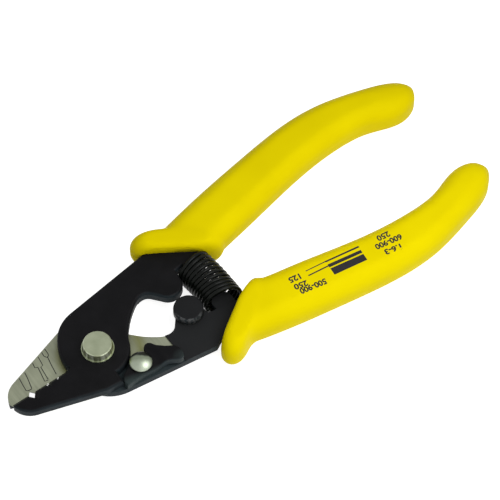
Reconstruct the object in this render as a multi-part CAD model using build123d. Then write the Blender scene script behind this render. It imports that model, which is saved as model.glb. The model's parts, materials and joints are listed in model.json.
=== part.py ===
from build123d import *
import os
from math import cos, hypot, pi, radians, sin

# A three-hole fibre stripper, lying on its grips and locked shut.
# The arms are drawn about the pivot, at the level where the two plates meet:
# +X from the pivot to the handles, +Y to the upper handle, +Z to the viewer.
# The finished pieces are moved so that the middle of the whole footprint,
# on the surface that the grips lie on, is the origin. Millimetres.

# Overall reach and spread
JAW_REACH = 30.9
HANDLE_REACH = 133.3
SPREAD = 63.5
GRIP_THICKNESS = 13.6

# Arm plates
PLATE = 3.0
LAP_PLAY = 0.05
LAP_STEP = 0.4
LAP_END = 19.5
RIM_RADIUS = 0.9
JAW_ROOT = 13.1
JAW_EDGE = 0.15
HEAD_REACH = 10.9
HEAD_RADIUS = 9.7
HEAD_RISE = 15.05
HEAD_FROM = -20
HEAD_TO = -89
COLLAR_X = 30.0
COLLAR_RISE = 19.1
WINDOW_HALF = 7.3
LOBE_X = 29.7
LOBE_Y = 5.8
LOBE_RADIUS = 4.5
LOBE_TURN = 215
SEAT_START = 34.6
SEAT_END = 46.5
SEAT_RISE = 8.3
SEAT_FLARE = 1.8
PEG_WIDTH = 6.4
PEG_LENGTH = 3.6
PEG_NOSE = 1.2
TANG_WIDTH = 8.6
HEEL_X = -0.3
HEEL_DEPTH = 13.6
NICK_RADIUS = 0.7

# Shares of the jaw's reach and root, from the tip round its back
JAW_TIP_SHARES = [(-0.981, 0.0), (-1.0, -0.09), (-0.951, -0.336), (-0.841, -0.504)]
JAW_ROOT_SHARE = -0.175
# Shares of the head's reach and rise, round its front shoulder
HEAD_FRONT_SHARES = [(-0.906, 0.4), (-0.585, 0.777), (-0.321, 0.918), (0.047, 1.004)]
# Shares of the lobe's place and the window's half height, from lobe to head
WINDOW_SHARES = [(0.822, 0.712), (0.774, 0.925), (0.717, 1.0), (0.64, 0.925), (0.556, 0.705),
                 (0.471, 0.415), (0.39, 0.065)]
# Shares of the handle's reach and half the spread, down the middle of a tang
TANG_SHARES = [(0.387, 0.545), (0.526, 0.645), (0.675, 0.745), (0.785, 0.757), (0.874, 0.68)]

# Stripping holes, from the tip: distance from the pivot, half width and
# depth of each notch, and how much deeper its relief is at the outer face
JACKET_HOLE_X = 23.75
JACKET_HALF_WIDTH = 1.1
JACKET_DEPTH = 1.35
JACKET_RELIEF = 2.7
BUFFER_HOLE_X = 18.1
BUFFER_HALF_WIDTH = 0.45
BUFFER_DEPTH = 0.55
BUFFER_RELIEF = 1.7
COATING_HOLE_X = 14.5
COATING_HALF_WIDTH = 0.28
COATING_DEPTH = 0.36
COATING_RELIEF = 1.4
BLADE_LAND = 0.25
EDGE_LAND = 0.6
EDGE_BEVEL = 1.6
OVERRUN = 1.0

# Pivot
SHANK_RADIUS = 3.2
RUNNING_FIT = 0.05
BOLT_FLANGE_RADIUS = 4.95
BOLT_FLANGE = 0.35
BOLT_SIDE_RADIUS = 4.75
BOLT_TOP_RADIUS = 4.35
BOLT_HEAD = 2.9
BOLT_CHAMFER = 0.2
WASHER_RADIUS = 4.9
WASHER = 0.5
NUT_FLATS = 8.0
NUT = 2.1
BOLT_TAIL = 0.3

# Latch and its rivet
LATCH_X = 7.6
LATCH_Y = -11.4
LATCH_PLAY = 0.1
LATCH_PLATE = 2.5
LATCH_BOSS_RADIUS = 3.5
LATCH_NOSE_GAP = 0.3
LATCH_LENGTH = 19.0
LATCH_HORN = 4.4
LATCH_RIM = 0.35
TAB_LIFT = 1.0
RIVET_RADIUS = 3.05
RIVET_DOME = 1.7
RIVET_RIM = 0.35
RIVET_SHANK = 1.7
RIVET_PEEN_RADIUS = 2.6
RIVET_PEEN = 0.8
# Shares of the latch's length and of its horn's rise, about the rivet
LATCH_CORNER_SHARE = -0.545
LATCH_NOSE_SHARES = [(-0.353, -0.155), (-0.295, 0.06), (-0.232, 0.17), (-0.174, 0.25)]
LATCH_HORN_SHARES = [(0.16, 0.4), (0.163, 0.59), (0.203, 0.905), (0.25, 1.0), (0.311, 0.864), (0.358, 0.477),
                     (0.41, 0.25), (0.484, -0.023), (0.553, -0.205), (0.595, -0.341)]
LATCH_TAB_SHARES = [(0.595, -0.341), (0.632, -0.705), (0.632, -1.045), (0.595, -1.364)]
LATCH_UNDER_SHARES = [(0.521, -1.409), (0.442, -1.227), (0.363, -1.045), (0.258, -0.977), (0.153, -0.977),
                      (-0.047, -0.886), (-0.242, -0.864), (-0.395, -0.909)]
# Shares of the latch's length where its tab starts to step up and is up
TAB_STEP_SHARES = (0.18, 0.37)

# Stop stud
STUD_X = 29.9
STUD_Y = -4.5
STUD_RADIUS = 4.25
STUD_TENON = 2.6

# Return spring
SPRING_X = 40.6
SPRING_DIAMETER = 11.9
WIRE = 1.25
COILS = 11
COIL_SPANS = 16
WIRE_SIDES = 6
SPRING_PLAY = 0.3

# Grips: station by station, the outer and inner edge in plan as shares of
# the handle's reach and half the spread, and the half thickness as a share
GRIP_STATION_SHARES = [
    ((0.2303, 0.611), (0.3421, 0.2961), 0.8),
    ((0.2146, 0.6961), (0.3518, 0.2756), 0.92),
    ((0.2206, 0.7748), (0.3653, 0.2504), 1.0),
    ((0.2401, 0.8079), (0.3781, 0.2346), 1.02),
    ((0.2693, 0.7717), (0.3916, 0.2472), 0.98),
    ((0.3046, 0.7276), (0.4044, 0.2772), 0.93),
    ((0.359, 0.781), (0.433, 0.302), 0.96),
    ((0.449, 0.855), (0.488, 0.345), 0.99),
    ((0.596, 0.954), (0.616, 0.457), 1.02),
    ((0.737, 1.0), (0.737, 0.526), 1.02),
    ((0.84, 0.932), (0.827, 0.532), 1.0),
    ((0.91, 0.854), (0.884, 0.469), 0.97),
    ((0.96, 0.775), (0.926, 0.416), 0.93),
    ((0.986, 0.69), (0.956, 0.422), 0.82),
    ((0.996, 0.633), (0.974, 0.447), 0.66),
    ((1.0, 0.58), (0.99, 0.498), 0.36),
]
BEAD_STATIONS = 6
# The beads sit a little apart from the same place on both handles: how far,
# shares of that along and out from the axis, and the station where it fades out
BEAD_SLIDE = 0.8
SLIDE_SHARES = (0.85, 0.53)
SLIDE_STATIONS = 9
GRIP_SWELL = 1.04
CORNER_SHARE = 0.86

HALF_SPREAD = SPREAD / 2
HALF_GRIP = GRIP_THICKNESS / 2
PIVOT_AT = Vector((JAW_REACH - HANDLE_REACH) / 2, 0, HALF_GRIP)
LAP_FACE = LAP_PLAY / 2
TOP_FACE = LAP_FACE + PLATE
HOLES = [
    (JACKET_HOLE_X, JACKET_HALF_WIDTH, JACKET_DEPTH, JACKET_RELIEF),
    (BUFFER_HOLE_X, BUFFER_HALF_WIDTH, BUFFER_DEPTH, BUFFER_RELIEF),
    (COATING_HOLE_X, COATING_HALF_WIDTH, COATING_DEPTH, COATING_RELIEF),
]


def places(shares, length, height):
    """Turn a table of shares into points."""
    return [(x * length, y * height) for x, y in shares]


def slab(face, bottom, top):
    """Give a plan outline its thickness between two levels."""
    return extrude(Pos(0, 0, bottom) * face, top - bottom)


def arm_face():
    """Jaw, head, window edge, stop lobe and spring seat in plan."""
    tip, nose, cheek, back = places(JAW_TIP_SHARES, JAW_REACH, JAW_ROOT)
    tip = (tip[0], JAW_EDGE)
    root = (JAW_ROOT_SHARE * JAW_REACH, -JAW_ROOT)
    throat = (-HEAD_REACH, JAW_EDGE)
    front = places(HEAD_FRONT_SHARES, HEAD_REACH, HEAD_RISE)
    collar = (COLLAR_X, COLLAR_RISE)
    window = places(WINDOW_SHARES, LOBE_X, WINDOW_HALF)
    seat_far = (SEAT_END, SEAT_RISE + SEAT_FLARE)
    seat_near = (SEAT_START, SEAT_RISE)
    lobe_right = (LOBE_X + LOBE_RADIUS, LOBE_Y)
    turn = radians(LOBE_TURN)
    lobe_left = (LOBE_X + LOBE_RADIUS * cos(turn), LOBE_Y + LOBE_RADIUS * sin(turn))
    head_angles = [radians(a) for a in (HEAD_FROM, (HEAD_FROM + HEAD_TO) / 2, HEAD_TO)]
    head_arc = [(HEAD_RADIUS * cos(a), HEAD_RADIUS * sin(a)) for a in head_angles]
    leave = (sin(turn), -cos(turn))
    meet = (sin(head_angles[0]), -cos(head_angles[0]))
    edges = [
        Line(tip, throat),
        ThreePointArc(throat, front[0], front[1]),
        ThreePointArc(front[1], front[2], front[3]),
        Line(front[3], collar),
        Line(collar, seat_far),
        Line(seat_far, seat_near),
        Line(seat_near, lobe_right),
        ThreePointArc(lobe_right, (LOBE_X, LOBE_Y - LOBE_RADIUS), lobe_left),
        Spline(lobe_left, *window, head_arc[0], tangents=[leave, meet]),
        ThreePointArc(*head_arc),
        Line(head_arc[2], (HEEL_X, -HEEL_DEPTH)),
        Line((HEEL_X, -HEEL_DEPTH), root),
        Line(root, back),
        ThreePointArc(back, cheek, nose),
        Line(nose, tip),
    ]
    return make_face(edges)


def tang_face(width):
    """The strip of each arm that runs down inside its grip."""
    start = (COLLAR_X + TANG_WIDTH, COLLAR_RISE - TANG_WIDTH / 2)
    middle = [start] + places(TANG_SHARES, HANDLE_REACH, HALF_SPREAD)
    near = [(x, y - width / 2) for x, y in middle]
    far = [(x, y + width / 2) for x, y in middle]
    end_x, end_y = middle[-1]
    edges = [
        Spline(*far),
        ThreePointArc(far[-1], (end_x + width / 2, end_y), near[-1]),
        Spline(*reversed(near)),
        Line(near[0], far[0]),
    ]
    return make_face(edges)


def peg_face():
    """The tongue that stands up inside the spring's last coils."""
    foot = SEAT_RISE + SEAT_FLARE + RIM_RADIUS
    end = SEAT_RISE - PEG_LENGTH
    half = PEG_WIDTH / 2
    points = [
        (SPRING_X - half, foot), (SPRING_X - half, end + PEG_NOSE), (SPRING_X - half + PEG_NOSE, end),
        (SPRING_X + half - PEG_NOSE, end), (SPRING_X + half, end + PEG_NOSE), (SPRING_X + half, foot),
    ]
    return make_face(Polyline(*points, close=True))


def notch(distance, half_width, depth, relief):
    """One V notch, thin at the lapped face and flared to the outer face."""
    x = -distance
    slope = half_width / depth

    def vee(low, level):
        reach = slope * (low + OVERRUN)
        points = [(x - reach, OVERRUN), (x, -low), (x + reach, OVERRUN)]
        return Pos(0, 0, level) * make_face(Polyline(*points, close=True))

    thin = extrude(vee(depth, LAP_FACE - OVERRUN), OVERRUN + BLADE_LAND)
    flare = loft([vee(depth, LAP_FACE + BLADE_LAND), vee(depth + relief, TOP_FACE)])
    return thin + flare


def jaw_bevel():
    """The slope that thins the jaw towards its working edge."""
    start = -HEAD_REACH - NICK_RADIUS / 2
    low = LAP_FACE + EDGE_LAND
    rise = (TOP_FACE - low) / EDGE_BEVEL
    high = TOP_FACE + rise * OVERRUN
    points = [
        (start, JAW_EDGE, low), (start, JAW_EDGE - EDGE_BEVEL - OVERRUN, high),
        (start, JAW_EDGE + OVERRUN, high), (start, JAW_EDGE + OVERRUN, low),
    ]
    return extrude(make_face(Polyline(*points, close=True)), JAW_REACH, dir=(-1, 0, 0))


def arm_blank():
    """The plate that both arms are made from: one is the other turned over."""
    plate = slab(arm_face(), LAP_FACE - LAP_STEP, TOP_FACE)
    rim = plate.edges().group_by(Axis.Z)[-1]
    plate = fillet(rim, RIM_RADIUS)
    plate += slab(tang_face(TANG_WIDTH), LAP_FACE, TOP_FACE)
    plate += slab(peg_face(), LAP_FACE, TOP_FACE)
    ground = Box(2 * LAP_END + 2 * JAW_REACH, SPREAD, 2 * LAP_STEP)
    plate -= Pos(-JAW_REACH, 0, LAP_FACE - LAP_STEP) * ground
    plate -= jaw_bevel()
    for hole in HOLES:
        plate -= notch(*hole)
    plate -= Pos(-HEAD_REACH, 0, 0) * Cylinder(NICK_RADIUS, 4 * PLATE)
    return plate


def turned_over(piece):
    """The same piece turned over about the long axis."""
    return piece.rotate(Axis.X, 180)


def round_bar(radius, bottom, top, x=0.0, y=0.0):
    """A plain cylinder between two levels."""
    height = top - bottom
    return Pos(x, y, bottom + height / 2) * Cylinder(radius, height)


def front_arm():
    """Upper handle and lower jaw: it turns on the bolt."""
    return arm_blank() - round_bar(SHANK_RADIUS + RUNNING_FIT, -PLATE, 2 * PLATE)


def rear_arm():
    """Lower handle and upper jaw: it carries bolt, latch rivet and stop stud."""
    arm = turned_over(arm_blank())
    arm -= round_bar(SHANK_RADIUS, -2 * PLATE, PLATE)
    arm -= round_bar(RIVET_SHANK, -2 * PLATE, PLATE, LATCH_X, LATCH_Y)
    arm -= round_bar(STUD_TENON, -2 * PLATE, PLATE, STUD_X, STUD_Y)
    return arm


def pivot_bolt():
    """Flat-topped head with a sloping side on a thin flange, shank and threaded tail."""
    seat = TOP_FACE + LAP_PLAY
    end = -TOP_FACE - WASHER - NUT - BOLT_TAIL
    top = seat + BOLT_HEAD
    points = [
        (0, seat), (BOLT_FLANGE_RADIUS, seat), (BOLT_FLANGE_RADIUS, seat + BOLT_FLANGE),
        (BOLT_SIDE_RADIUS, seat + BOLT_FLANGE), (BOLT_TOP_RADIUS, top - BOLT_CHAMFER),
        (BOLT_TOP_RADIUS - BOLT_CHAMFER, top), (0, top),
    ]
    head = revolve(Plane.XZ * make_face(Polyline(*points, close=True)), Axis.Z)
    return head + round_bar(SHANK_RADIUS, end, seat)


def pivot_washer():
    """Flat washer between the rear arm and the nut."""
    return round_bar(WASHER_RADIUS, -TOP_FACE - WASHER, -TOP_FACE) - round_bar(SHANK_RADIUS, -3 * PLATE, 0)


def pivot_nut():
    """Thin hexagon nut on the back."""
    body = extrude(RegularPolygon(NUT_FLATS / 2, 6, major_radius=False), NUT)
    body = Pos(0, 0, -TOP_FACE - WASHER - NUT) * body
    return body - round_bar(SHANK_RADIUS, -3 * PLATE, 0)


def latch_face():
    """The latch in plan about its rivet: nose, boss, horn and thumb tab."""
    nose_x = HEEL_X + LATCH_NOSE_GAP - LATCH_X
    corner = (nose_x, LATCH_CORNER_SHARE * LATCH_HORN)
    nose = places(LATCH_NOSE_SHARES, LATCH_LENGTH, LATCH_HORN)
    horn = places(LATCH_HORN_SHARES, LATCH_LENGTH, LATCH_HORN)
    tab = places(LATCH_TAB_SHARES, LATCH_LENGTH, LATCH_HORN)
    under = places(LATCH_UNDER_SHARES, LATCH_LENGTH, LATCH_HORN)
    edges = [
        Spline(corner, *nose),
        ThreePointArc(nose[-1], (0, LATCH_BOSS_RADIUS), horn[0]),
        Spline(*horn),
        Spline(*tab),
        Spline(tab[-1], *under),
        Line(under[-1], corner),
    ]
    return make_face(edges)


def step_line(level):
    """The side view of the latch's face at one level, stepping up to the tab."""
    start, end = [share * LATCH_LENGTH for share in TAB_STEP_SHARES]
    high = level + TAB_LIFT
    return [
        Line((-LATCH_LENGTH, level), (start, level)),
        Spline((start, level), (end, high), tangents=[(1, 0), (1, 0)]),
        Line((end, high), (LATCH_LENGTH, high)),
    ]


def latch_lever():
    """Pressed lever whose tab steps up off the arm for the thumb."""
    low = LAP_FACE + LATCH_PLAY
    high = low + LATCH_PLATE
    ends = [
        Line((-LATCH_LENGTH, low), (-LATCH_LENGTH, high)),
        Line((LATCH_LENGTH, low + TAB_LIFT), (LATCH_LENGTH, high + TAB_LIFT)),
    ]
    strip = extrude(Plane.XZ * make_face(step_line(low) + step_line(high) + ends), LATCH_LENGTH, both=True)
    lever = slab(latch_face(), low, high + TAB_LIFT) & strip
    tops = [face for face in lever.faces() if face.normal_at().Z > 0]
    rim = ShapeList(edge for face in tops for edge in face.edges()).filter_by(Axis.Y, reverse=True)
    lever = Pos(LATCH_X, LATCH_Y, 0) * fillet(rim, LATCH_RIM)
    return lever - round_bar(RIVET_SHANK + RUNNING_FIT, -PLATE, 2 * PLATE, LATCH_X, LATCH_Y)


def domed_head(radius, dome, rim):
    """A low dome on a short rim, standing on level zero."""
    curve = (radius * radius + dome * dome) / (2 * dome)
    ball = Pos(0, 0, rim + dome - curve) * Sphere(curve)
    return ball & round_bar(radius, 0, rim + dome)


def latch_rivet():
    """Domed rivet, peened on the back of the rear arm."""
    seat = LAP_FACE + 2 * LATCH_PLAY + LATCH_PLATE
    head = Pos(0, 0, seat) * domed_head(RIVET_RADIUS, RIVET_DOME, RIVET_RIM)
    peen = Pos(0, 0, -TOP_FACE) * turned_over(domed_head(RIVET_PEEN_RADIUS, RIVET_PEEN, RIVET_RIM))
    rivet = head + round_bar(RIVET_SHANK, -TOP_FACE, seat) + peen
    return Pos(LATCH_X, LATCH_Y, 0) * rivet


def stop_stud():
    """Round stud on the rear arm that the front arm's lobe closes against."""
    step = -LAP_FACE + LAP_STEP
    head = round_bar(STUD_RADIUS, step, TOP_FACE)
    rim = head.edges().group_by(Axis.Z)[-1]
    head = fillet(rim, RIM_RADIUS)
    return Pos(STUD_X, STUD_Y, 0) * (head + round_bar(STUD_TENON, -TOP_FACE, step))


def return_spring():
    """Compression coil between the two seats, built in short straight spans."""
    radius = (SPRING_DIAMETER - WIRE) / 2
    rise = SEAT_RISE - SPRING_PLAY - WIRE / 2
    path = Helix(pitch=2 * rise / COILS, height=2 * rise, radius=radius)
    wire = RegularPolygon(WIRE / 2, WIRE_SIDES)
    sections = []
    for i in range(COILS * COIL_SPANS + 1):
        share = i / (COILS * COIL_SPANS)
        place = path @ share
        sections.append(Plane(origin=place, x_dir=(place.X, place.Y, 0), z_dir=path % share) * wire)
    coil = loft(sections, ruled=True)
    return Pos(SPRING_X, rise, 0) * (Rot(90, 0, 0) * coil)


def grip(slide):
    """A moulded sleeve, flat above and below, whose flared bead sits a little further along or back."""
    sections = []
    for station, (outer, inner, thick_share) in enumerate(GRIP_STATION_SHARES):
        fade = min(1, max(0, (SLIDE_STATIONS - station) / (SLIDE_STATIONS - BEAD_STATIONS)))
        along, out = [share * fade * slide for share in SLIDE_SHARES]
        (ox, oy), (ix, iy) = places([outer, inner], HANDLE_REACH, HALF_SPREAD)
        width = hypot(ox - ix, oy - iy)
        height = 2 * HALF_GRIP * GRIP_SWELL * thick_share
        across = Vector((ox - ix) / width, (oy - iy) / width, 0)
        middle = ((ox + ix) / 2 + along, (oy + iy) / 2 + out, 0)
        plane = Plane(origin=middle, x_dir=across, z_dir=across.cross(Vector(0, 0, 1)))
        corner = CORNER_SHARE * min(width, height) / 2
        sections.append(plane * RectangleRounded(width, height, corner))
    sleeve = loft(sections[:BEAD_STATIONS]) + loft(sections[BEAD_STATIONS - 1:])
    sleeve &= Pos(HANDLE_REACH / 2, 0, 0) * Box(2 * HANDLE_REACH, 2 * SPREAD, GRIP_THICKNESS)
    return sleeve


def upper_grip():
    """The grip on the front arm, with the pocket that its tang fills."""
    return grip(-BEAD_SLIDE) - arm_blank()


def lower_grip():
    """The grip on the rear arm."""
    return turned_over(grip(BEAD_SLIDE) - arm_blank())


PIECES = {
    "front_arm": front_arm,
    "rear_arm": rear_arm,
    "upper_grip": upper_grip,
    "lower_grip": lower_grip,
    "pivot_bolt": pivot_bolt,
    "pivot_washer": pivot_washer,
    "pivot_nut": pivot_nut,
    "latch_lever": latch_lever,
    "latch_rivet": latch_rivet,
    "stop_stud": stop_stud,
    "return_spring": return_spring,
}

os.makedirs("parts", exist_ok=True)
for name, make in PIECES.items():
    export_step(make().moved(Location(PIVOT_AT)), f"parts/{name}.step")
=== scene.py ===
import json
from math import cos, pi, radians, sin

import bmesh
import bpy
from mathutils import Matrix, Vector
from mathutils.bvhtree import BVHTree

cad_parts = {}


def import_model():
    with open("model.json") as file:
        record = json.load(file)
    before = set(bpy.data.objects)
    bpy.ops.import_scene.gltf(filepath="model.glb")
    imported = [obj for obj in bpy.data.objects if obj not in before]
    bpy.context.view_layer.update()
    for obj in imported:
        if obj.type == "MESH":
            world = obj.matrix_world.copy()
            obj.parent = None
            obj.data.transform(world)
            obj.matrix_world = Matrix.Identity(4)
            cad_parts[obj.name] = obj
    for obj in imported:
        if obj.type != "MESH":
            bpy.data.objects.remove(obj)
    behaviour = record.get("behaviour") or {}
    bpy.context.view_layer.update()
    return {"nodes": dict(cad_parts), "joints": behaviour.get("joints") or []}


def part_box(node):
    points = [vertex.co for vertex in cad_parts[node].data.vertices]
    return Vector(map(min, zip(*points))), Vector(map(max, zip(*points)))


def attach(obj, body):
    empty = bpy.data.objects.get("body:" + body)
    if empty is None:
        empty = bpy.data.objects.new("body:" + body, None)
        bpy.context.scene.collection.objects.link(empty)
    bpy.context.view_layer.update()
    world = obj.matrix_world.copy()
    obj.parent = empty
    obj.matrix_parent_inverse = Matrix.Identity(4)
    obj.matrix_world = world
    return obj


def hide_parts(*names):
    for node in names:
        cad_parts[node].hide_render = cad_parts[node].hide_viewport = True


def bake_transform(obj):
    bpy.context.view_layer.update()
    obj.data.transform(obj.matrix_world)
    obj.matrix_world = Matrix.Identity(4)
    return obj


# A fibre stripper lying on its grips, closed and latched, on a pale floor.
# Places on the tool are given in millimetres about the pivot, at the level
# where the two arms meet: +X to the handles, +Y to the upper handle, +Z up.

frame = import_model()

MM = 0.001
PIVOT = Vector(next(j for j in frame["joints"] if j["name"] == "handle_open")["pos_m"])

# Camera, as the photograph was taken
CAMERA_AZIMUTH = -36.53
CAMERA_ELEVATION = 58.0
CAMERA_AIM = (57.86, 2.295, 0.0)
CAMERA_DISTANCE = 910.7
LENS = 216.0
SENSOR = 36.0

# Light: lamps in metres and watts, the rest as strengths where 1 is white
KEY_PLACE = (0.04, -0.09, 0.19)
KEY_SIZE = 0.15
KEY_POWER = 0.255
FILL_PLACE = (-0.1, -0.6, 0.35)
FILL_SIZE = 0.8
FILL_POWER = 1.0
WORLD_LIGHT = 0.38
WORLD_SEEN = 1.0
FLOOR_GLOW = 0.86
FLOOR_HALF = 3.0
WHITE = (1, 1, 1, 1)
FLOOR_GREY = (0.8, 0.8, 0.8, 1)

# Directions in plan, and how far the photo's line of sight runs on in plan per unit of rise
NEAR_SIDE = (-0.597, -0.802, 0.0)
FAR_SIDE = (0.597, 0.802, 0.0)
SIGHT_DRIFT = (0.373, 0.501)

# The arms: how far each lapped face lies from the middle level, and where the lap ends
LAP_LEVEL = 0.025
STEP_X = 19.5

# Places in plan of the latch's rivet, the end of its thumb tab, and the stop stud
RIVET = (7.6, -11.4)
TAB_END = (18.2, -17.3)
STUD = (29.9, -4.5)


def at(x, y, z=0.0):
    """A place in the frame, from millimetres about the pivot."""
    return PIVOT + Vector((x, y, z)) * MM


# Materials. Colours are linear, and a noise's scale is in patches per metre.

# Noise lies mostly between these two values
NOISE_LOW = 0.3
NOISE_HIGH = 0.7


def material(name, **settings):
    """A new material, with plain values set on its own shader."""
    made = bpy.data.materials.new(name)
    made.use_nodes = True
    shader = made.node_tree.nodes["Principled BSDF"]
    for label, value in settings.items():
        shader.inputs[label.replace("_", " ")].default_value = value
    return made


class Nodes:
    """Short calls for building one material's nodes."""

    def __init__(self, made):
        self.tree = made.node_tree
        self.shader = self.tree.nodes["Principled BSDF"]
        self.place = self.add("ShaderNodeTexCoord").outputs["Object"]

    def add(self, kind, **settings):
        node = self.tree.nodes.new(kind)
        for label, value in settings.items():
            setattr(node, label, value)
        return node

    def feed(self, socket, value):
        """Link an output to a socket, or set the socket's value."""
        if isinstance(value, bpy.types.NodeSocket):
            self.tree.links.new(value, socket)
        else:
            socket.default_value = value

    def coat(self, colour, roughness):
        """Give the shader its colour and roughness."""
        self.feed(self.shader.inputs["Base Color"], colour)
        self.feed(self.shader.inputs["Roughness"], roughness)

    def noise(self, scale, detail=3.0, roughness=0.5, stretch=(1, 1, 1)):
        """Soft noise with a number of patches per metre."""
        mapping = self.add("ShaderNodeMapping")
        self.feed(mapping.inputs["Vector"], self.place)
        self.feed(mapping.inputs["Scale"], stretch)
        texture = self.add("ShaderNodeTexNoise")
        self.feed(texture.inputs["Vector"], mapping.outputs["Vector"])
        self.feed(texture.inputs["Scale"], scale)
        self.feed(texture.inputs["Detail"], detail)
        self.feed(texture.inputs["Roughness"], roughness)
        return texture.outputs["Fac"]

    def spread(self, value, low, high, new_low=0.0, new_high=1.0):
        """Map a range of values to another, clamped."""
        node = self.add("ShaderNodeMapRange")
        labels = ("From Min", "From Max", "To Min", "To Max")
        for label, number in zip(labels, (low, high, new_low, new_high)):
            self.feed(node.inputs[label], number)
        self.feed(node.inputs["Value"], value)
        return node.outputs["Result"]

    def between(self, noise, low=0.0, high=1.0):
        """Noise spread between two values."""
        return self.spread(noise, NOISE_LOW, NOISE_HIGH, low, high)

    def math(self, operation, *values):
        node = self.add("ShaderNodeMath", operation=operation)
        for socket, value in zip(node.inputs, values):
            self.feed(socket, value)
        return node.outputs["Value"]

    def vector_math(self, operation, first, second, output="Vector"):
        node = self.add("ShaderNodeVectorMath", operation=operation)
        self.feed(node.inputs[0], first)
        self.feed(node.inputs[1], second)
        return node.outputs[output]

    def shade(self, colour, factor):
        """A colour made lighter or darker by a factor."""
        node = self.add("ShaderNodeVectorMath", operation="SCALE")
        self.feed(node.inputs["Vector"], colour)
        self.feed(node.inputs["Scale"], factor)
        return node.outputs["Vector"]

    def mix(self, factor, first, second):
        """Mix two colours."""
        node = self.add("ShaderNodeMix", data_type="RGBA")
        self.feed(node.inputs["Factor"], factor)
        self.feed(node.inputs[6], first)
        self.feed(node.inputs[7], second)
        return node.outputs[2]

    def blend_values(self, factor, first, second):
        """Mix two numbers."""
        node = self.add("ShaderNodeMix", data_type="FLOAT")
        self.feed(node.inputs["Factor"], factor)
        self.feed(node.inputs[2], first)
        self.feed(node.inputs[3], second)
        return node.outputs[0]

    def axes(self):
        """The x, y and z of the place."""
        split = self.add("ShaderNodeSeparateXYZ")
        self.feed(split.inputs["Vector"], self.place)
        return split.outputs

    def facing(self, direction):
        """How far the surface faces a direction, from -1 to 1."""
        normal = self.add("ShaderNodeNewGeometry").outputs["Normal"]
        return self.vector_math("DOT_PRODUCT", normal, direction, "Value")

    def along(self, centre, direction):
        """Distance from a place along a direction."""
        offset = self.vector_math("SUBTRACT", self.place, centre)
        return self.vector_math("DOT_PRODUCT", offset, direction, "Value")

    def reach(self, centre, place=None):
        """Distance from an upright axis through a place."""
        flat = self.vector_math("MULTIPLY", place or self.place, (1, 1, 0))
        return self.vector_math("DISTANCE", flat, (centre[0], centre[1], 0), "Value")

    def soft_edges(self, radius):
        """A normal that rounds the creases of a moulding."""
        node = self.add("ShaderNodeBevel", samples=6)
        self.feed(node.inputs["Radius"], radius)
        return node.outputs["Normal"]

    def bump(self, height, strength, distance, normal=None):
        """Give the shader a bumpy normal."""
        node = self.add("ShaderNodeBump")
        if normal:
            self.feed(node.inputs["Normal"], normal)
        self.feed(node.inputs["Strength"], strength)
        self.feed(node.inputs["Distance"], distance)
        self.feed(node.inputs["Height"], height)
        self.feed(self.shader.inputs["Normal"], node.outputs["Normal"])


# Blackened steel: two shades of blotch, a painted bluish sheen on faces turned to the near side, and a
# paler tone that can be mixed in
BLACK_LOW = (0.0038, 0.0038, 0.0044, 1)
BLACK_HIGH = (0.0066, 0.0065, 0.0074, 1)
BLACK_NEAR_SHEEN = (0.020, 0.029, 0.034, 1)
BLACK_PALE = (0.022, 0.0235, 0.0245, 1)
BLACK_SHEEN = 0.07
FINE_GRAIN = 5200.0


def blackened(n, paler=0.0):
    """Colour and roughness of blackened steel: soft blotches, and a painted paler sheen on faces turned to
    the near side.
    """
    blotch = n.spread(n.noise(scale=160.0, detail=4.0), 0.35, 0.65)
    # Painted sheen: faces turned to the near side are made paler and bluish, broken by noise.
    near_sheen = n.spread(n.facing(NEAR_SIDE), 0.25, 0.95)
    near_sheen = n.math("MULTIPLY", near_sheen, n.between(n.noise(scale=300.0, detail=4.0), 0.55, 1.0))
    plain = n.mix(paler, n.mix(blotch, BLACK_LOW, BLACK_HIGH), BLACK_PALE)
    colour = n.mix(near_sheen, plain, BLACK_NEAR_SHEEN)
    dull = n.between(n.noise(scale=420.0), 0.44, 0.56)
    return colour, dull


# The latch's painted highlights: one from a distance below its rivet, one round the end of its tab
LATCH_HIGHLIGHT = (0.036, 0.050, 0.049, 1)
BELOW_RIVET = (-0.25, -0.97, 0.0)
HIGHLIGHT_START = 2.4
HIGHLIGHT_FULL = 4.6
TAB_FULL = 0.4
TAB_REACH = 3.0


def latch_black():
    """Blackened steel with a fine grain, with a painted highlight below the rivet and on the thumb tab."""
    made = material("latch_steel", Specular_IOR_Level=BLACK_SHEEN)
    n = Nodes(made)
    colour, dull = blackened(n)
    # Painted highlight: paler below the rivet and round the end of the thumb tab.
    below = n.spread(n.along(at(*RIVET), BELOW_RIVET), HIGHLIGHT_START * MM, HIGHLIGHT_FULL * MM)
    tab = n.spread(n.reach(at(*TAB_END)), TAB_FULL * MM, TAB_REACH * MM, 0.75, 0.0)
    highlight = n.math("MAXIMUM", below, tab)
    highlight = n.math("MULTIPLY", highlight, n.between(n.noise(scale=260.0, detail=4.0), 0.45, 1.0))
    n.coat(n.mix(highlight, colour, LATCH_HIGHLIGHT), dull)
    n.bump(n.noise(scale=FINE_GRAIN, detail=2.0), strength=0.12, distance=0.04 * MM)
    return made


# The stud's staked rim, painted as a broken highlight on its near side: its radius and half width, and how
# far to the near side it starts and is full
STAKED_RIM_HIGHLIGHT = (0.075, 0.078, 0.080, 1)
STAKED_RADIUS = 4.3
STAKED_HALF = 0.3
STAKED_START = 1.2
STAKED_FULL = 3.0


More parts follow.
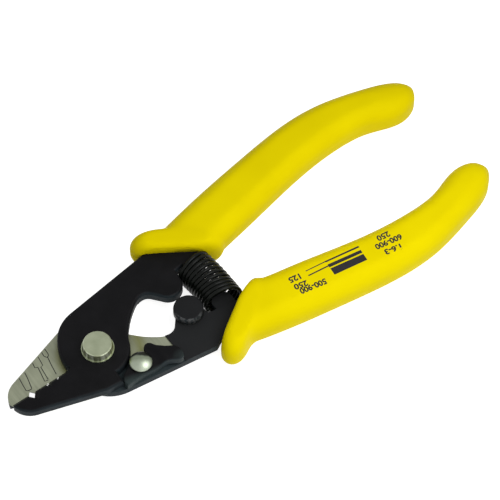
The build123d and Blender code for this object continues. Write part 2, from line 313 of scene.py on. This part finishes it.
def staked_black():
    """The stud: blackened, with a broken paler rim where it was staked, painted as a highlight on its near
    side only.
    """
    made = material("staked_stud", Specular_IOR_Level=BLACK_SHEEN)
    n = Nodes(made)
    colour, dull = blackened(n, paler=0.35)
    centre = at(*STUD)
    # Painted highlight: a broken pale ring on the staked rim, on the near side only.
    rim = n.math("COMPARE", n.reach(centre), STAKED_RADIUS * MM, STAKED_HALF * MM)
    near = n.spread(n.along(centre, NEAR_SIDE), STAKED_START * MM, STAKED_FULL * MM)
    broken = n.spread(n.noise(scale=1100.0, detail=4.0), 0.42, 0.56)
    mark = n.math("MULTIPLY", n.math("MULTIPLY", rim, near), broken)
    n.coat(n.mix(mark, colour, STAKED_RIM_HIGHLIGHT), dull)
    n.bump(n.math("ADD", n.noise(scale=1500.0, detail=4.0), mark), strength=0.35, distance=0.12 * MM)
    return made


# An arm's ground face: all of the jaw up to an x, and behind that only what lies beyond a line
# near the pivot. A face counts as lapped when its level is within the play.
LEVEL_PLAY = 0.05
GROUND_X = -6.0
GROUND_LINE = -0.9
GROUND_METALLIC = 0.85
ALONG_BLADE = (1.0, 0.06, 1.0)
GROUND_LOW = (0.215, 0.230, 0.165, 1)
GROUND_HIGH = (0.290, 0.307, 0.225, 1)
# The unground ledge: black, with a painted bluish sheen
LEDGE_BLACK_SHEEN = (0.030, 0.041, 0.045, 1)

# Painted olive shadow of the front arm's head, by distance from the pivot. On the handle side it lies
# further out.
HEAD_SHADOW = (0.155, 0.160, 0.045, 1)
SHADOW_START = 9.0
SHADOW_PEAK = 10.9
SHADOW_END = 13.4
SHADOW_SHIFT = 1.9

# Glints in the two small stripping holes: x, y and radius
GLINT = (0.92, 0.93, 0.88, 1)
SMALL_HOLES = [(-17.95, 0.2, 0.29), (-14.25, 0.15, 0.23)]


def ground_masks(n, lap_level):
    """Where an arm's lapped face is ground bright, and the ledge that the grinding leaves."""
    x, _, z = n.axes()
    level = n.math("COMPARE", z, at(0, 0, lap_level).z, LEVEL_PLAY * MM)
    lapped = n.math("MULTIPLY", level, n.math("LESS_THAN", x, at(STEP_X, 0).x))
    jaw = n.math("LESS_THAN", x, at(GROUND_X, 0).x)
    beyond = n.math("GREATER_THAN", n.along(PIVOT, FAR_SIDE), GROUND_LINE * MM)
    above = n.math("MAXIMUM", jaw, beyond)
    ground = n.math("MULTIPLY", lapped, above)
    ledge = n.math("MULTIPLY", lapped, n.math("SUBTRACT", 1.0, above))
    return ground, ledge


def ground_steel(n, lines):
    """Colour of a ground face: grinding lines, clouds, and a painted olive shadow of the front arm's head
    round the pivot.
    """
    steel = n.mix(n.between(lines), GROUND_LOW, GROUND_HIGH)
    clouded = n.shade(steel, n.between(n.noise(scale=110.0, detail=4.0), 0.80, 1.12))
    # Painted shadow: darker olive in a ring just outside the front arm's head.
    handle_side = n.math("GREATER_THAN", n.axes()[0], PIVOT.x)
    far = n.math("SUBTRACT", n.reach(PIVOT), n.math("MULTIPLY", handle_side, SHADOW_SHIFT * MM))
    rising = n.spread(far, SHADOW_START * MM, SHADOW_PEAK * MM, 0.30, 1.0)
    falling = n.spread(far, SHADOW_PEAK * MM, SHADOW_END * MM, 0.75, 0.0)
    return n.mix(n.math("MULTIPLY", rising, falling), clouded, HEAD_SHADOW)


def with_glints(n, colour):
    """The colour, with a bright dot at each small hole where the photo sees through it."""
    x, y, z = n.axes()
    rise = n.math("SUBTRACT", z, PIVOT.z)
    slanted = n.add("ShaderNodeCombineXYZ")
    for socket, drift, flat in zip(slanted.inputs, SIGHT_DRIFT, (x, y)):
        n.feed(socket, n.math("MULTIPLY_ADD", rise, drift, flat))
    for hole_x, hole_y, radius in SMALL_HOLES:
        far = n.reach(at(hole_x, hole_y), slanted.outputs["Vector"])
        colour = n.mix(n.math("LESS_THAN", far, radius * MM), colour, GLINT)
    return colour


def two_tone_arm(name, lap_level, paler):
    """Blackened steel whose lapped face is ground bright as far as the step."""
    made = material(name, Specular_IOR_Level=BLACK_SHEEN)
    n = Nodes(made)
    ground, ledge = ground_masks(n, lap_level)
    black, dull = blackened(n, paler)
    # The unground ledge: black, painted paler and bluish as a sheen.
    black = n.mix(ledge, black, LEDGE_BLACK_SHEEN)
    lines = n.noise(scale=900.0, roughness=0.6, stretch=ALONG_BLADE)
    colour = with_glints(n, n.mix(ground, black, ground_steel(n, lines)))
    n.coat(colour, n.blend_values(ground, dull, n.between(lines, 0.40, 0.52)))
    n.feed(n.shader.inputs["Metallic"], n.math("MULTIPLY", ground, GROUND_METALLIC))
    relief = n.blend_values(ground, n.noise(scale=FINE_GRAIN, detail=2.0), lines)
    n.bump(relief, strength=0.12, distance=0.04 * MM)
    return made


# The pivot bolt: its top, painted reflections in upright streaks on its side, and a painted reflection of
# the yellow grip on the side towards it
TOP_LOW = (0.255, 0.285, 0.190, 1)
TOP_HIGH = (0.325, 0.355, 0.250, 1)
SIDE_REFLECTION_LOW = (0.30, 0.33, 0.20, 1)
SIDE_REFLECTION_HIGH = (0.80, 0.86, 0.66, 1)
YELLOW_REFLECTION = (0.33, 0.35, 0.07, 1)
GRIP_SIDE = (0.95, -0.3, 0.0)
UPRIGHT = (1.0, 1.0, 0.02)
RING_PITCH = 0.22


def turned_steel():
    """Plated steel with faint turning rings on its flat top, and painted reflections in streaks round its
    side.
    """
    made = material("turned_steel", Metallic=0.9)
    n = Nodes(made)
    cloud = n.noise(scale=300.0, detail=4.0)
    top = n.mix(n.between(cloud), TOP_LOW, TOP_HIGH)
    # Painted reflections: light and dark upright streaks on the side, and yellow on the side turned to the
    # grip.
    reflected_streaks = n.spread(n.noise(scale=700.0, detail=2.0, stretch=UPRIGHT), 0.42, 0.6)
    side = n.mix(reflected_streaks, SIDE_REFLECTION_LOW, SIDE_REFLECTION_HIGH)
    side = n.mix(n.spread(n.facing(GRIP_SIDE), 0.45, 0.95, 0.0, 0.8), side, YELLOW_REFLECTION)
    sideways = n.spread(n.facing((0, 0, 1)), 0.5, 0.9, 1.0, 0.0)
    n.coat(n.mix(sideways, top, side), n.between(cloud, 0.36, 0.48))
    rings = n.math("SINE", n.math("MULTIPLY", n.reach(PIVOT), 2 * pi / (RING_PITCH * MM)))
    relief = n.math("ADD", n.math("MULTIPLY", rings, 0.25), n.noise(scale=2500.0))
    n.bump(relief, strength=0.16, distance=0.03 * MM)
    return made


# The dome: two shades of nickel, and painted reflections in bands across it. A band starts
# and is full at places between its middle, 0, and its far rim, 1.
NICKEL_LOW = (0.28, 0.32, 0.245, 1)
NICKEL_HIGH = (0.36, 0.40, 0.32, 1)
NICKEL_REFLECTIONS = [
    (-0.35, 0.10, (0.20, 0.23, 0.165, 1)),
    (0.30, 0.48, (0.020, 0.022, 0.018, 1)),
    (0.78, 0.92, (0.22, 0.24, 0.19, 1)),
]
DOME_RADIUS = 3.45
DOME_RIPPLE = 1.3


def bright_nickel():
    """A polished dome with painted reflections: pale below, a darker band under its far rim."""
    made = material("bright_nickel", Metallic=1.0)
    n = Nodes(made)
    ripple = n.math("MULTIPLY", n.math("SUBTRACT", n.noise(scale=450.0), 0.5), DOME_RIPPLE * MM)
    height = n.math("ADD", n.along(at(*RIVET), FAR_SIDE), ripple)
    height = n.math("DIVIDE", height, DOME_RADIUS * MM)
    cloud = n.noise(scale=400.0)
    colour = n.mix(n.between(cloud), NICKEL_LOW, NICKEL_HIGH)
    # Painted reflections: darker and dark bands across the dome, rippled by noise.
    for start, end, band in NICKEL_REFLECTIONS:
        colour = n.mix(n.spread(height, start, end), colour, band)
    n.coat(colour, n.between(cloud, 0.32, 0.42))
    n.bump(n.noise(scale=2200.0), strength=0.06, distance=0.03 * MM)
    return made


# The grips' vinyl, whose creases are softened over a radius
VINYL_LOW = (0.78, 0.635, 0.0004, 1)
VINYL_HIGH = (0.83, 0.685, 0.0006, 1)
VINYL_SHEEN = 0.035
VINYL_TINT = (1.0, 0.9, 0.15, 1)
VINYL_EDGE = 3.0


def yellow_vinyl():
    """Moulded vinyl: even, strong yellow with a soft sheen and a faint orange peel."""
    made = material("yellow_vinyl", Specular_IOR_Level=VINYL_SHEEN, Specular_Tint=VINYL_TINT)
    n = Nodes(made)
    colour = n.mix(n.between(n.noise(scale=60.0)), VINYL_LOW, VINYL_HIGH)
    n.coat(colour, n.between(n.noise(scale=240.0), 0.42, 0.52))
    n.bump(n.noise(scale=900.0), strength=0.10, distance=0.12 * MM, normal=n.soft_edges(VINYL_EDGE * MM))
    return made


# The spring's oiled wire
WIRE_LOW = (0.0025, 0.0034, 0.0027, 1)
WIRE_HIGH = (0.0060, 0.0072, 0.0060, 1)
WIRE_SHEEN = 0.10


def spring_wire():
    """Black oiled wire with a shine."""
    made = material("spring_wire", Specular_IOR_Level=WIRE_SHEEN)
    n = Nodes(made)
    cloud = n.noise(scale=500.0, detail=4.0)
    n.coat(n.mix(n.between(cloud), WIRE_LOW, WIRE_HIGH), n.between(cloud, 0.20, 0.30))
    n.bump(n.noise(scale=4000.0), strength=0.1, distance=0.03 * MM)
    return made


# Engraved lines and print
ENGRAVING = (0.012, 0.013, 0.010)
PRINT = (0.007, 0.006, 0.007)
INK_SHEEN = 0.3


def ink(name, colour):
    """Dark ink of slightly uneven strength."""
    made = material(name, Specular_IOR_Level=INK_SHEEN)
    n = Nodes(made)
    uneven = n.shade(colour, n.between(n.noise(scale=1500.0), 0.75, 1.25))
    n.coat(uneven, n.between(n.noise(scale=800.0), 0.5, 0.7))
    return made


def dress(node, made):
    """Give a CAD node its material."""
    target = frame["nodes"][node]
    if target.material_slots:
        for slot in target.material_slots:
            slot.material = made
    else:
        target.data.materials.append(made)


# Pieces


def mesh_piece(name, points, faces, made, smooth=True):
    """A new piece from points in the frame and the faces between them."""
    data = bpy.data.meshes.new(name)
    data.from_pydata([tuple(p) for p in points], [], faces)
    data.materials.append(made)
    piece = bpy.data.objects.new(name, data)
    bpy.context.collection.objects.link(piece)
    for polygon in data.polygons:
        polygon.use_smooth = smooth
    return piece


def heading(line, i):
    """The direction in which a line of points runs at its point i."""
    return (line[min(i + 1, len(line) - 1)] - line[max(i - 1, 0)]).normalized()


def circle(sides):
    """Angles once round a circle."""
    return [2 * pi * k / sides for k in range(sides)]


def ringed_piece(name, rings, made):
    """A closed piece from rings of points, each joined to the next, with both ends capped."""
    sides = len(rings[0])
    points = [point for ring in rings for point in ring]
    faces = []
    for i in range(len(rings) - 1):
        base = i * sides
        for k in range(sides):
            m = (k + 1) % sides
            faces.append((base + k, base + sides + k, base + sides + m, base + m))
    faces.append(tuple(range(sides)))
    faces.append(tuple(reversed(range(len(points) - sides, len(points)))))
    return mesh_piece(name, points, faces, made)


# The return spring: its place and half length, how its turns fan, slant and bow, and its coil,
# with closed turns at both ends and open ones between
SPRING_X = 40.6
SPRING_HALF = 7.75
SPRING_FAN = 10.5
SPRING_SLANT = -0.045
SPRING_BOW = 0.35
COIL_RADIUS = 5.65
WIRE_RADIUS = 0.62
WIRE_PLAY = 0.04
TURNS = 11
CLOSED_LOW = 3.5
CLOSED_HIGH = 0.7
OPEN_TURNS = TURNS - CLOSED_LOW - CLOSED_HIGH
CLOSED_PITCH = 2 * WIRE_RADIUS + WIRE_PLAY
OPEN_PITCH = (2 * SPRING_HALF - (CLOSED_LOW + CLOSED_HIGH) * CLOSED_PITCH) / OPEN_TURNS
STEPS_PER_TURN = 40
WIRE_SIDES = 12


def coil_point(share):
    """A point of the coil's line: closed end turns, and open ones that fan towards the handles."""
    turn = TURNS * share
    opened = max(0.0, min(OPEN_TURNS, turn - CLOSED_LOW))
    rise = (turn - opened) * CLOSED_PITCH + opened * OPEN_PITCH - SPRING_HALF
    lean = radians(SPRING_FAN) * (2 * opened / OPEN_TURNS - 1)
    outward = Vector((cos(lean), sin(lean), 0))
    angle = 2 * pi * turn + pi
    bow = SPRING_BOW * (1 - (rise / SPRING_HALF) ** 2)
    middle = Vector((SPRING_X + SPRING_SLANT * rise + bow, rise, 0))
    return middle + outward * (COIL_RADIUS * cos(angle)) + Vector((0, 0, COIL_RADIUS * sin(angle)))


def return_spring(made):
    """The coil of round wire between the arms' seats."""
    count = TURNS * STEPS_PER_TURN
    line = [coil_point(i / count) for i in range(count + 1)]
    rings = []
    for i, middle in enumerate(line):
        ahead = heading(line, i)
        side = ahead.cross(Vector((0, 1, 0))).normalized()
        up = side.cross(ahead)
        ring = [middle + (side * cos(a) + up * sin(a)) * WIRE_RADIUS for a in circle(WIRE_SIDES)]
        rings.append([at(*place) for place in ring])
    spring = ringed_piece("bowed_spring", rings, made)
    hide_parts("return_spring")
    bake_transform(spring)


# Sides of a turned piece
ROUND_SIDES = 64


def lathe(name, centre, profile, made):
    """A turned piece, from (radius, level) pairs that run from its top to its bottom."""
    rings = []
    for radius, level in profile:
        reach = radius * MM
        ring = [(centre.x + reach * cos(a), centre.y + reach * sin(a), level) for a in circle(ROUND_SIDES)]
        rings.append(ring)
    return ringed_piece(name, rings, made)


# The latch's rivet: a dome on a short rim, a shank, and a peened end, whose profile is given as
# radius and depth and whose tip as radius and height above the solid's lowest point.
# The CAD_ sizes are the solid's own, and say where its shank begins and ends.
DOME_RISE = 1.35
DOME_RIM = 0.3
DOME_ARC = 62
DOME_STEPS = 14
CAD_DOME = 1.7
CAD_PEEN = 0.8
SHANK_RADIUS = 1.7
PEEN_PROFILE = [(2.6, 0.0), (2.6, 0.35), (1.95, 0.6)]
PEEN_TIP = (0.2, 0.02)


def rivet(made):
    """The latch's rivet: a broad low dome, a shank and a peened end."""
    low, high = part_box("latch_rivet")
    seat = high.z - CAD_DOME * MM
    back = low.z + CAD_PEEN * MM
    full = radians(DOME_ARC)
    profile = []
    for i in range(1, DOME_STEPS + 1):
        a = full * i / DOME_STEPS
        rise = DOME_RISE * (cos(a) - cos(full)) / (1 - cos(full))
        profile.append((DOME_RADIUS * sin(a) / sin(full), seat + (DOME_RIM + rise) * MM))
    profile += [(DOME_RADIUS, seat), (SHANK_RADIUS, seat), (SHANK_RADIUS, back)]
    profile += [(radius, back - depth * MM) for radius, depth in PEEN_PROFILE]
    profile.append((PEEN_TIP[0], low.z + PEEN_TIP[1] * MM))
    piece = lathe("domed_rivet", at(*RIVET), profile, made)
    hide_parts("latch_rivet")
    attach(piece, "rear")


# The stop stud: a round head on the rear arm's step, and a tenon through the arm
STUD_RADIUS = 4.6
STUD_RIM = 0.8
STUD_RIM_STEPS = 8
STUD_FOOT = 0.375
TENON_RADIUS = 2.6


def broad_stud(made):
    """The stop stud: as its solid, with the broader head that the photo shows."""
    low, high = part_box("stop_stud")
    step = at(0, 0, STUD_FOOT).z
    profile = []
    for i in range(STUD_RIM_STEPS + 1):
        a = pi / 2 * i / STUD_RIM_STEPS
        profile.append((STUD_RADIUS - STUD_RIM * (1 - sin(a)), high.z - STUD_RIM * MM * (1 - cos(a))))
    profile += [(STUD_RADIUS, step), (TENON_RADIUS, step), (TENON_RADIUS, low.z)]
    piece = lathe("broad_stud", at(*STUD), profile, made)
    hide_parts("stop_stud")
    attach(piece, "rear")


# Lines engraved on the rear blade, in plan
MARK_WIDTH = 0.27
MARK_LIFT = 0.012
CABLE_MARKS = {
    "jacket_outline": [(-23.6, 7.0), (-24.0, 4.6), (-24.3, 2.3), (-23.8, 1.85), (-22.7, 1.8), (-22.45, 2.3),
                       (-21.75, 4.9), (-21.2, 7.6)],
    "buffer_left": [(-17.5, 8.9), (-17.87, 7.2), (-17.05, 6.8), (-17.15, 6.3), (-17.6, 4.0), (-18.1, 1.65),
                    (-17.05, 1.4)],
    "buffer_right": [(-15.0, 9.7), (-15.3, 7.6), (-15.5, 6.5), (-16.3, 6.35), (-16.6, 4.1), (-16.9, 1.6)],
    "coating_left": [(-13.25, 10.4), (-13.45, 8.9), (-13.1, 8.15)],
    "coating_right": [(-11.85, 10.9), (-12.0, 8.8), (-12.35, 8.1), (-13.1, 8.0)],
    "coating_stem": [(-12.75, 8.0), (-13.45, 4.8), (-14.0, 1.6)],
}


def engraved_line(name, places, width, level, made):
    """A thin flat strip laid on a face, along a line of places."""
    line = [Vector(place) for place in places]
    corners = []
    for i, middle in enumerate(line):
        ahead = heading(line, i)
        side = Vector((-ahead.y, ahead.x)) * width / 2
        corners += [at(*(middle + side), level), at(*(middle - side), level)]
    faces = [(2 * i, 2 * i + 1, 2 * i + 3, 2 * i + 2) for i in range(len(line) - 1)]
    return mesh_piece(name, corners, faces, made, smooth=False)


def cable_marks(made):
    """Engraved outlines of a jacket, a buffer and a coated fibre over their holes."""
    for name, places in CABLE_MARKS.items():
        mark = engraved_line("mark_" + name, places, MARK_WIDTH, -LAP_LEVEL + MARK_LIFT, made)
        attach(mark, "rear")


# Print on the lower grip, in plan: each bar by its corners, each number by its start and end.
# It is laid on the grip from a level above the tool, and lifted a little clear of the surface.
SKY = 60.0
BAR_LIFT = 0.015
BAR_CELLS = (24, 6)
NUMBER_LIFT = 0.02
NUMBER_HEIGHT = 1.95
NUMBER_BOLDNESS = 0.035
BARS = {
    "chart_fine_line": [(64.3, -16.9), (71.0, -17.7), (71.0, -18.03), (64.3, -17.2)],
    "chart_fine_bar": [(71.0, -17.65), (82.4, -19.35), (82.4, -19.95), (71.0, -18.2)],
    "chart_middle_line": [(64.0, -18.6), (71.0, -19.4), (71.0, -19.85), (64.0, -19.02)],
    "chart_middle_bar": [(71.0, -19.1), (82.1, -20.9), (82.0, -22.0), (70.8, -20.25)],
    "chart_wide_bar": [(70.8, -20.7), (81.9, -22.5), (81.6, -24.85), (70.5, -23.2)],
}
NUMBERS = [
    ("size_jacket", "1.6-3", (93.4, -26.3), (87.6, -25.1)),
    ("size_buffer", "600-900", (95.2, -23.5), (86.4, -22.0)),
    ("size_coating", "250", (92.8, -20.5), (88.6, -19.9)),
    ("size_buffer_2", "500-900", (67.4, -22.5), (58.8, -20.9)),
    ("size_coating_2", "250", (62.5, -19.7), (58.3, -18.7)),
    ("size_fibre", "125", (62.6, -16.6), (58.4, -15.9)),
]


def surface_of(node):
    """A function that gives the place on top of a node, a little above it, from a place in plan."""
    tree = BVHTree.FromObject(frame["nodes"][node], bpy.context.evaluated_depsgraph_get())

    def on_top(x, y, lift):
        hit, normal, _, _ = tree.ray_cast(at(x, y, SKY), Vector((0, 0, -1)))
        return hit + normal * lift * MM

    return on_top


def printed_bar(name, corners, made, on_top):
    """A four-cornered printed patch that follows the surface below it."""
    a, b, c, d = [Vector(corner) for corner in corners]
    columns, rows = BAR_CELLS
    points = []
    for j in range(rows + 1):
        for i in range(columns + 1):
            u, v = i / columns, j / rows
            place = (a * (1 - u) + b * u) * (1 - v) + (d * (1 - u) + c * u) * v
            points.append(on_top(place.x, place.y, BAR_LIFT))
    faces = []
    for j in range(rows):
        for i in range(columns):
            k = j * (columns + 1) + i
            faces.append((k, k + columns + 1, k + columns + 2, k + 1))
    return mesh_piece(name, points, faces, made)


def flat_text(name, text):
    """The flat mesh of a line of text, cut fine enough to be laid on a curved surface."""
    data = bpy.data.curves.new(name, "FONT")
    data.body = text
    data.size = 1.0
    data.offset = NUMBER_BOLDNESS
    data.resolution_u = 3
    draft = bpy.data.objects.new(name + "_draft", data)
    bpy.context.collection.objects.link(draft)
    mesh = bpy.data.meshes.new_from_object(draft.evaluated_get(bpy.context.evaluated_depsgraph_get()))
    bpy.data.objects.remove(draft)
    work = bmesh.new()
    work.from_mesh(mesh)
    bmesh.ops.triangulate(work, faces=work.faces)
    bmesh.ops.subdivide_edges(work, edges=work.edges, cuts=2, use_grid_fill=True)
    work.to_mesh(mesh)
    work.free()
    return mesh


def printed_number(name, text, start, end, made, on_top):
    """Plain numbers printed on a surface, read from start to end."""
    mesh = flat_text(name, text)
    width = max(v.co.x for v in mesh.vertices)
    tall = max(v.co.y for v in mesh.vertices)
    first, last = Vector(start), Vector(end)
    run = last - first
    along = run / width
    across = Vector((-run.y, run.x)).normalized() * NUMBER_HEIGHT / tall
    for v in mesh.vertices:
        place = first + along * v.co.x + across * v.co.y
        v.co = on_top(place.x, place.y, NUMBER_LIFT)
    mesh.materials.clear()
    mesh.materials.append(made)
    piece = bpy.data.objects.new(name, mesh)
    bpy.context.collection.objects.link(piece)
    return piece


def size_chart(made):
    """Bars and plain numbers on the lower grip."""
    on_top = surface_of("lower_grip")
    for name, corners in BARS.items():
        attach(printed_bar(name, corners, made, on_top), "rear")
    for name, text, start, end in NUMBERS:
        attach(printed_number(name, text, start, end, made, on_top), "rear")


# Stage


def looked_at(tree):
    """1 for rays that show the background: seen directly, mirrored or through glass."""
    path = tree.nodes.new("ShaderNodeLightPath")
    total = path.outputs["Is Camera Ray"]
    for label in ("Is Glossy Ray", "Is Transmission Ray"):
        node = tree.nodes.new("ShaderNodeMath")
        node.operation = "MAXIMUM"
        tree.links.new(total, node.inputs[0])
        tree.links.new(path.outputs[label], node.inputs[1])
        total = node.outputs["Value"]
    return total


def floor():
    """A pale floor that shows white to the camera and keeps the object's shadow."""
    made = material("floor", Base_Color=FLOOR_GREY, Roughness=0.9, Specular_IOR_Level=0.0,
                    Emission_Color=WHITE)
    n = Nodes(made)
    n.feed(n.shader.inputs["Emission Strength"], n.math("MULTIPLY", looked_at(n.tree), FLOOR_GLOW))
    corners = [(-FLOOR_HALF, -FLOOR_HALF, 0), (FLOOR_HALF, -FLOOR_HALF, 0),
               (FLOOR_HALF, FLOOR_HALF, 0), (-FLOOR_HALF, FLOOR_HALF, 0)]
    plane = mesh_piece("floor", corners, [(0, 1, 2, 3)], made)


def world():
    """Soft even light all round, plain white where it is seen or mirrored."""
    made = bpy.data.worlds.new("studio")
    bpy.context.scene.world = made
    made.use_nodes = True
    tree = made.node_tree
    level = tree.nodes.new("ShaderNodeMapRange")
    level.inputs["To Min"].default_value = WORLD_LIGHT
    level.inputs["To Max"].default_value = WORLD_SEEN
    tree.links.new(looked_at(tree), level.inputs["Value"])
    back = tree.nodes["Background"]
    back.inputs["Color"].default_value = WHITE
    tree.links.new(level.outputs["Result"], back.inputs["Strength"])


def area_light(name, place, size, power):
    """A round lamp that shines at the middle of the floor and isn't seen itself."""
    data = bpy.data.lights.new(name, "AREA")
    data.shape = "DISK"
    data.size = size
    data.energy = power
    lamp = bpy.data.objects.new(name, data)
    bpy.context.collection.objects.link(lamp)
    lamp.visible_camera = False
    lamp.location = place
    lamp.rotation_mode = "QUATERNION"
    lamp.rotation_quaternion = (-Vector(place)).to_track_quat("-Z", "Y")


def camera():
    """The photograph's camera."""
    data = bpy.data.cameras.new("camera")
    data.lens = LENS
    data.sensor_width = SENSOR
    data.clip_start = 0.05
    data.clip_end = 20.0
    made = bpy.data.objects.new("camera", data)
    bpy.context.collection.objects.link(made)
    azimuth, elevation = radians(CAMERA_AZIMUTH), radians(CAMERA_ELEVATION)
    back = Vector((sin(azimuth) * cos(elevation), -cos(azimuth) * cos(elevation), sin(elevation)))
    made.location = at(*CAMERA_AIM) + back * CAMERA_DISTANCE * MM
    made.rotation_mode = "QUATERNION"
    made.rotation_quaternion = (-back).to_track_quat("-Z", "Y")
    bpy.context.scene.camera = made


camera()
world()
floor()
area_light("key", KEY_PLACE, KEY_SIZE, KEY_POWER)
area_light("fill", FILL_PLACE, FILL_SIZE, FILL_POWER)
bpy.context.scene.view_settings.view_transform = "Standard"

dress("front_arm", two_tone_arm("blackened_front", LAP_LEVEL, paler=0.0))
dress("rear_arm", two_tone_arm("blackened_rear", -LAP_LEVEL, paler=0.6))
dress("latch_lever", latch_black())
staked = staked_black()
dress("stop_stud", staked)
broad_stud(staked)
vinyl = yellow_vinyl()
dress("upper_grip", vinyl)
dress("lower_grip", vinyl)
steel = turned_steel()
for node in ("pivot_bolt", "pivot_washer", "pivot_nut"):
    dress(node, steel)
nickel = bright_nickel()
dress("latch_rivet", nickel)
rivet(nickel)
wire = spring_wire()
dress("return_spring", wire)
return_spring(wire)
cable_marks(ink("engraving", ENGRAVING))
size_chart(ink("print", PRINT))
